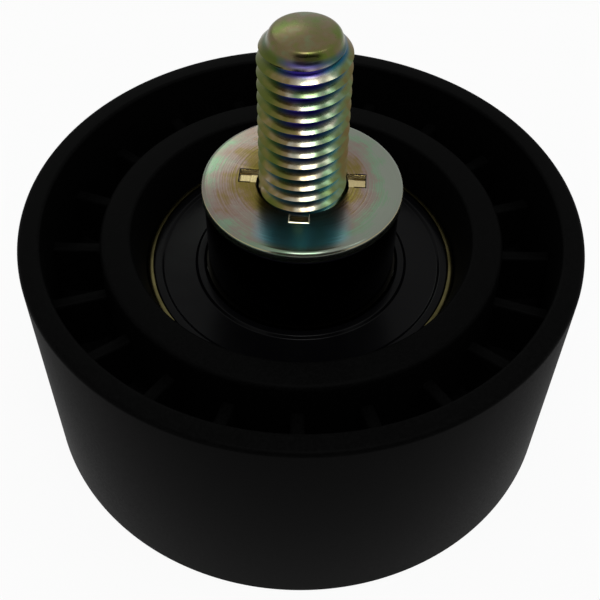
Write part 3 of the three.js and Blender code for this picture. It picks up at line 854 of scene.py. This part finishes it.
coat(tree, add(tree, "ShaderNodeBsdfPrincipled", {
    "Base Color": tint.outputs[2], "Metallic": 1, "Roughness": rough.outputs[0], "Normal": marks.outputs[0]}))
print(f"{bolt_zinc.name}: {len(tree.nodes)} nodes")

# %% [markdown]
# A thread is a profile that climbs one pitch a turn. Stacked rings would only look like one, so the tree
# bends a flat grid into a helix. Its rows climb with the angle. The radius follows a triangle wave along the
# rows, with the 60 degree flanks of a real thread, cut off and rounded at crest and root. A cone trims the
# thread at the tip, with a shallow neck that leaves a last part-ridge below it. At the foot a slope lets the
# thread run out into the shank. Merging by distance then closes the seam.

# %% Geometry Nodes: rolled thread
FLANK_SLOPE = math.sqrt(3)
# The part of a flank's rise over one pitch that is cut off at the root
ROOT_CUT_SHARE = 1 / 8


def thread_tree():
    """A tree that bends a grid into a right-hand thread standing on z = Foot."""
    tree = bpy.data.node_groups.new("rolled_thread", "GeometryNodeTree")
    for name in ("Pitch", "Crest Radius", "Root Radius", "End Radius", "End Slope", "Neck Half", "Neck Slope",
                 "Length", "Foot", "Rounding"):
        tree.interface.new_socket(name, in_out="INPUT", socket_type="NodeSocketFloat")
    for name in ("Columns", "Rows"):
        tree.interface.new_socket(name, in_out="INPUT", socket_type="NodeSocketInt")
    tree.interface.new_socket("Finish", in_out="INPUT", socket_type="NodeSocketMaterial")
    tree.interface.new_socket("Thread", in_out="OUTPUT", socket_type="NodeSocketGeometry")
    given = add(tree, "NodeGroupInput").outputs
    grid = add(tree, "GeometryNodeMeshGrid", {
        "Size X": 1, "Size Y": 1, "Vertices X": given["Columns"], "Vertices Y": given["Rows"]})
    here = add(tree, "ShaderNodeSeparateXYZ", {0: add(tree, "GeometryNodeInputPosition").outputs[0]})

    # The grid is centred and one unit wide, so half a unit brings its corner to zero
    value = {socket.name: socket for socket in given}
    value.update(x=here.outputs["X"], y=here.outputs["Y"])
    for name, operation, *terms in (
            ("turn", "ADD", "x", 0.5),
            ("share up", "ADD", "y", 0.5),
            ("span", "ADD", "Length", "Pitch"),
            ("along", "MULTIPLY", "share up", "span"),
            ("row", "SUBTRACT", "along", "Pitch"),
            ("climbed", "MULTIPLY_ADD", "turn", "Pitch", "row"),
            ("above foot", "MAXIMUM", "climbed", 0.0),
            ("height", "MINIMUM", "above foot", "Length"),
            ("pitches", "DIVIDE", "row", "Pitch"),
            ("wave", "PINGPONG", "pitches", 0.5),
            ("flank rise", "MULTIPLY", "Pitch", FLANK_SLOPE),
            ("sharp root", "MULTIPLY_ADD", "flank rise", -ROOT_CUT_SHARE, "Root Radius"),
            ("flank", "MULTIPLY_ADD", "wave", "flank rise", "sharp root"),
            ("filled", "SMOOTH_MAX", "flank", "Root Radius", "Rounding"),
            ("thread", "SMOOTH_MIN", "filled", "Crest Radius", "Rounding"),
            ("to end", "SUBTRACT", "Length", "height"),
            ("cone", "MULTIPLY_ADD", "to end", "End Slope", "End Radius"),
            ("from neck", "SUBTRACT", "to end", "Neck Half"),
            ("off neck", "ABSOLUTE", "from neck"),
            ("inside neck", "SUBTRACT", "Neck Half", "off neck"),
            ("neck", "MAXIMUM", "inside neck", 0.0),
            ("neck depth", "MULTIPLY", "neck", "Neck Slope"),
            ("necked cone", "SUBTRACT", "cone", "neck depth"),
            ("trimmed", "MINIMUM", "thread", "necked cone"),
            ("run out", "MULTIPLY_ADD", "height", -1.0, "Crest Radius"),
            ("radius", "MAXIMUM", "trimmed", "run out"),
            ("angle", "MULTIPLY", "turn", math.tau),
            ("cosine", "COSINE", "angle"),
            ("sine", "SINE", "angle"),
            ("bent x", "MULTIPLY", "radius", "cosine"),
            ("bent y", "MULTIPLY", "radius", "sine"),
            ("bent z", "ADD", "height", "Foot")):
        inputs = {i: value[term] if isinstance(term, str) else term for i, term in enumerate(terms)}
        value[name] = add(tree, "ShaderNodeMath", inputs, operation=operation).outputs[0]

    bent = add(tree, "ShaderNodeCombineXYZ", {
        "X": value["bent x"], "Y": value["bent y"], "Z": value["bent z"]})
    placed = add(tree, "GeometryNodeSetPosition", {"Geometry": grid.outputs[0], "Position": bent.outputs[0]})
    merged = add(tree, "GeometryNodeMergeByDistance", {"Geometry": placed.outputs[0], "Distance": MERGE})
    real = add(tree, "GeometryNodeRealizeInstances", {"Geometry": merged.outputs[0]})
    finish = add(tree, "GeometryNodeSetMaterial", {"Geometry": real.outputs[0], "Material": given["Finish"]})
    add(tree, "NodeGroupOutput", {"Thread": finish.outputs[0]})
    return tree


rolled_thread = thread_tree()
print(f"{rolled_thread.name}: {len(rolled_thread.nodes)} nodes")

# %% [markdown]
# The stud has an inch thread, 13 turns to the inch, which comes closest to the photograph's ratio of pitch
# to width. A turn climbs a whole number of the grid's rows, and the thread is a whole number of rows long,
# so that the grid's two sides meet at the seam.

# %% Stud
INCH = 25.4 * MM
THREADS_PER_INCH = 13
PITCH = INCH / THREADS_PER_INCH
THREAD_ROUNDING = 0.1 * MM
NECK_HALF = 0.85 * MM
NECK_SLOPE = 0.36
TIP_RADIUS = 4.4 * MM
TIP_CROWN = 0.55 * MM
TIP_CHAMFER_LENGTH = 2.6 * MM
TIP_EDGE = 0.4 * MM
BOLT_COLUMNS = 96
ROWS_PER_PITCH = 10

chamfer_end = bolt_tip - TIP_CROWN
chamfer_slope = (BOLT_RADIUS - TIP_RADIUS) / TIP_CHAMFER_LENGTH
row_rise = PITCH / ROWS_PER_PITCH
thread_foot = bolt_tip - THREAD_LENGTH - PITCH / 2
thread_rows = math.floor((chamfer_end - TIP_EDGE - thread_foot) / row_rise)
thread_end = thread_foot + thread_rows * row_rise
end_radius = TIP_RADIUS + chamfer_slope * (chamfer_end - thread_end)
thread = made_by(rolled_thread, "thread", **{
    "Pitch": PITCH, "Crest Radius": BOLT_RADIUS, "Root Radius": ROOT_RADIUS, "Rounding": THREAD_ROUNDING,
    "Foot": thread_foot, "Length": thread_end - thread_foot, "End Radius": end_radius,
    "End Slope": chamfer_slope, "Neck Half": NECK_HALF, "Neck Slope": NECK_SLOPE,
    "Columns": BOLT_COLUMNS + 1, "Rows": thread_rows + ROWS_PER_PITCH + 1, "Finish": bolt_zinc})
print(f"thread: {thread_rows / ROWS_PER_PITCH:.1f} turns, {len(thread.data.polygons)} faces")

# %% [markdown]
# The stud's end is a shallow crown, as the header's die leaves it. The edge between crown and chamfer is
# rounded, and that edge is what flashes in the photograph. The shank is a plain cylinder under the thread.

# %% Crown and shank
CROWN_STEPS = 8
CROWN_ROUND = 0.8 * MM
HEAD_HEIGHT = 12 * MM

head_end = bottom("bolt")
under_head = head_end + HEAD_HEIGHT
crown_outline = [(end_radius, thread_end, 0), (TIP_RADIUS, chamfer_end, CROWN_ROUND)]
for step in range(1, CROWN_STEPS + 1):
    inward = step / CROWN_STEPS
    crown_outline.append((TIP_RADIUS * (1 - inward), bolt_tip - TIP_CROWN * (1 - inward) ** 2, 0))
crown = loft("crown", [ring(r, z, BOLT_COLUMNS) for r, z in rounded(crown_outline)])
shank = loft("shank", [ring(BOLT_RADIUS, z, BOLT_COLUMNS) for z in (under_head, thread_foot)])
print(f"shank {(thread_foot - under_head) / MM:.1f} mm long")

# %% [markdown]
# The head sits in the pulley's rear recess: a hexagon on a flange that spreads the bolt's pull. A hexagon's
# radius is a formula of the angle, so it can be lofted like a round piece. A cone cuts each of its flats in
# an arc, as a real head's chamfer does.

# %% Head
HEX_ACROSS_FLATS = 19.05 * MM
HEX_SIDE = math.tau / 6
HEX_CHAMFER_ANGLE = math.radians(30)
HEX_CHAMFER_RADIUS = 8.8 * MM
FLANGE_EDGE = 1.9 * MM
FLANGE_ROUND = 0.5 * MM
FLANGE_CONE = 1.4 * MM
HEAD_COLUMNS = 192

flange_radius = reach("bolt")


def hex_head():
    """The flange and the hexagon on it."""
    turn = np.arange(HEAD_COLUMNS) * math.tau / HEAD_COLUMNS + HEX_SIDE / 2
    flats = HEX_ACROSS_FLATS / 2 / np.cos(turn % HEX_SIDE - HEX_SIDE / 2)
    cone = head_end + (flats - HEX_CHAMFER_RADIUS) * math.tan(HEX_CHAMFER_ANGLE)
    cone_foot = under_head - FLANGE_EDGE - FLANGE_CONE
    across = HEX_ACROSS_FLATS / 2 + FLANGE_CONE
    rim = rounded([
        (across, cone_foot, 0), (flange_radius, under_head - FLANGE_EDGE, FLANGE_ROUND),
        (flange_radius, under_head, FLANGE_ROUND), (BOLT_RADIUS, under_head, 0)])
    return loft("head", [
        ring(0, head_end, HEAD_COLUMNS), ring(HEX_CHAMFER_RADIUS, head_end, HEAD_COLUMNS),
        ring(flats, cone, HEAD_COLUMNS), ring(flats, cone_foot, HEAD_COLUMNS),
        *[ring(r, z, HEAD_COLUMNS) for r, z in rim]])


bolt = joined("flange_bolt", [thread, crown, shank, hex_head()])
dress(bolt, bolt_zinc, "bolt", "bolt_zinc", "bolt")

# %% [markdown]
# Balls, cage and rivets are sealed in the bearing. They keep the frame's own solids, and get the finish of
# polished balls and of pressed steel for whoever opens the bearing. A smear of grease dulls the balls in
# patches, and the cage is scuffed by the press.

# %% Finish: hidden steel
GREASE_PATCH = 2 * MM
SCUFF_SIZE = 0.8 * MM

balls_finish, tree = new_finish("polished_ball_steel")
place = add(tree, "ShaderNodeTexCoord").outputs["Object"]
grease = add(tree, "ShaderNodeTexNoise", {"Vector": place, "Scale": 1 / GREASE_PATCH, "Detail": 3})
rough = add(tree, "ShaderNodeMapRange", {"Value": grease.outputs[0], "To Min": 0.06, "To Max": 0.2})
coat(tree, add(tree, "ShaderNodeBsdfPrincipled", {
    "Base Color": linear("c8c8c4"), "Metallic": 1, "Roughness": rough.outputs[0]}))

cage_finish, tree = new_finish("pressed_mild_steel")
place = add(tree, "ShaderNodeTexCoord").outputs["Object"]
scuffs = add(tree, "ShaderNodeTexNoise", {"Vector": place, "Scale": 1 / SCUFF_SIZE, "Detail": 4})
tone = add(tree, "ShaderNodeValToRGB", {"Fac": scuffs.outputs[0]}, [(0.3, "8b8c88"), (0.7, "aeb0ac")])
rough = add(tree, "ShaderNodeMapRange", {"Value": scuffs.outputs[0], "To Min": 0.3, "To Max": 0.5})
coat(tree, add(tree, "ShaderNodeBsdfPrincipled", {
    "Base Color": tone.outputs[0], "Metallic": 1, "Roughness": rough.outputs[0]}))

for name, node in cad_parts.items():
    if name.startswith(("bearing_ball", "cage")):
        node.data.materials.clear()
        node.data.materials.append(balls_finish if "ball" in name else cage_finish)

# %% [markdown]
# The studio is a white floor under a white sky. Both show white to the camera and to whatever mirrors them,
# but shine on the part only at a plain level. The floor still takes a share of real light, so that the
# pulley keeps a soft contact shadow, and it is clear to a camera below it. The stage's lengths are in metres.

# %% Floor
FLOOR_REACH = 4
FLOOR_WHITE = 0.92


def shows_background(tree):
    """A socket that is 1 for rays that should meet the white background."""
    rays = add(tree, "ShaderNodeLightPath").outputs
    mirror = add(tree, "ShaderNodeMath", {0: rays["Is Glossy Ray"], 1: rays["Is Transmission Ray"]},
                 operation="MAXIMUM")
    return add(tree, "ShaderNodeMath", {0: rays["Is Camera Ray"], 1: mirror.outputs[0]},
               operation="MAXIMUM").outputs[0]


floor_finish, tree = new_finish("white_studio_floor")
shown = add(tree, "ShaderNodeMath", {0: shows_background(tree), 1: FLOOR_WHITE}, operation="MULTIPLY")
lit = add(tree, "ShaderNodeBsdfDiffuse", {"Color": linear("f4f4f4")})
glow = add(tree, "ShaderNodeEmission", {"Color": (1, 1, 1, 1), "Strength": 1})
front = add(tree, "ShaderNodeMixShader", {0: shown.outputs[0], 1: lit.outputs[0], 2: glow.outputs[0]})
clear = add(tree, "ShaderNodeBsdfTransparent")
facing = add(tree, "ShaderNodeNewGeometry")
coat(tree, add(tree, "ShaderNodeMixShader", {
    0: facing.outputs["Backfacing"], 1: front.outputs[0], 2: clear.outputs[0]}))


def panel(name, corners, finish):
    """A flat stage piece."""
    mesh = bpy.data.meshes.new(name)
    mesh.from_pydata(corners, [], [range(len(corners))])
    mesh.materials.append(finish)
    piece = bpy.data.objects.new(name, mesh)
    bpy.context.scene.collection.objects.link(piece)
    print("stage:", name)


panel("floor", [(-FLOOR_REACH, -FLOOR_REACH, 0), (FLOOR_REACH, -FLOOR_REACH, 0),
                (FLOOR_REACH, FLOOR_REACH, 0), (-FLOOR_REACH, FLOOR_REACH, 0)], floor_finish)

# %% [markdown]
# The sky has the same switch: full strength where it is seen or mirrored, and a plain level where it lights.

# %% Sky
SKY_LIGHT = 0.45

world = bpy.data.worlds.new("white_sky")
bpy.context.scene.world = world
world.use_nodes = True
tree = world.node_tree
tree.nodes.clear()
strength = add(tree, "ShaderNodeMix", {"Factor": shows_background(tree), "A": SKY_LIGHT, "B": 1.0})
sky = add(tree, "ShaderNodeBackground", {"Color": (1, 1, 1, 1), "Strength": strength.outputs[0]})
add(tree, "ShaderNodeOutputWorld", {"Surface": sky.outputs[0]})
print(f"sky lights the part at {SKY_LIGHT}")

# %% [markdown]
# Bright metal is mostly what it mirrors. In the photograph the tip's chamfer and the crests mirror the dark
# room in front. A black card, which only mirrors can see, stands there for the room. It reaches from just
# above the floor to the height of the lamps.

# %% Black card
CARD_DISTANCE = 0.5
CARD_LOW = 0.06
CARD_HIGH = 0.62
CARD_LEFT = -0.3
CARD_RIGHT = 0.5

card_finish, tree = new_finish("black_card")
rays = add(tree, "ShaderNodeLightPath")
clear = add(tree, "ShaderNodeBsdfTransparent")
black = add(tree, "ShaderNodeBsdfDiffuse", {"Color": linear("050505")})
coat(tree, add(tree, "ShaderNodeMixShader", {
    0: rays.outputs["Is Glossy Ray"], 1: clear.outputs[0], 2: black.outputs[0]}))
panel("card", [(CARD_LEFT, -CARD_DISTANCE, CARD_LOW), (CARD_RIGHT, -CARD_DISTANCE, CARD_LOW),
               (CARD_RIGHT, -CARD_DISTANCE, CARD_HIGH), (CARD_LEFT, -CARD_DISTANCE, CARD_HIGH)], card_finish)

# %% [markdown]
# The thread's upper flanks flash white from a lamp high in front, and again more thinly from one at the
# right. A third lamp stands behind, and the stud's crowned end mirrors it as a pale patch. A lamp's row gives
# its name, place, size, power in watts and tint.

# %% Lamps
LAMPS = (
    ("key", (0.03, -0.2, 0.64), (0.21, 0.14), 1.25, "ffffff"),
    ("window", (0.37, -0.08, 0.64), (0.1, 0.2), 0.22, "e8f8ee"),
    ("rear", (-0.14, 0.65, 0.51), (0.24, 0.16), 0.35, "eaf6ea"),
)


def lamp(name, place, size, power, tint):
    """A soft rectangular lamp that faces the middle of the pulley's front."""
    data = bpy.data.lights.new(name, "AREA")
    data.shape = "RECTANGLE"
    data.size, data.size_y = size
    data.energy = power
    data.color = linear(tint)[:3]
    holder = bpy.data.objects.new(name, data)
    holder.location = place
    aim = Vector((0, 0, pulley_width)) - Vector(place)
    holder.rotation_euler = aim.to_track_quat("-Z", "Y").to_euler()
    bpy.context.scene.collection.objects.link(holder)
    print(f"lamp: {name}, {power} W")


for row in LAMPS:
    lamp(*row)
bpy.context.scene.view_settings.view_transform = "Standard"
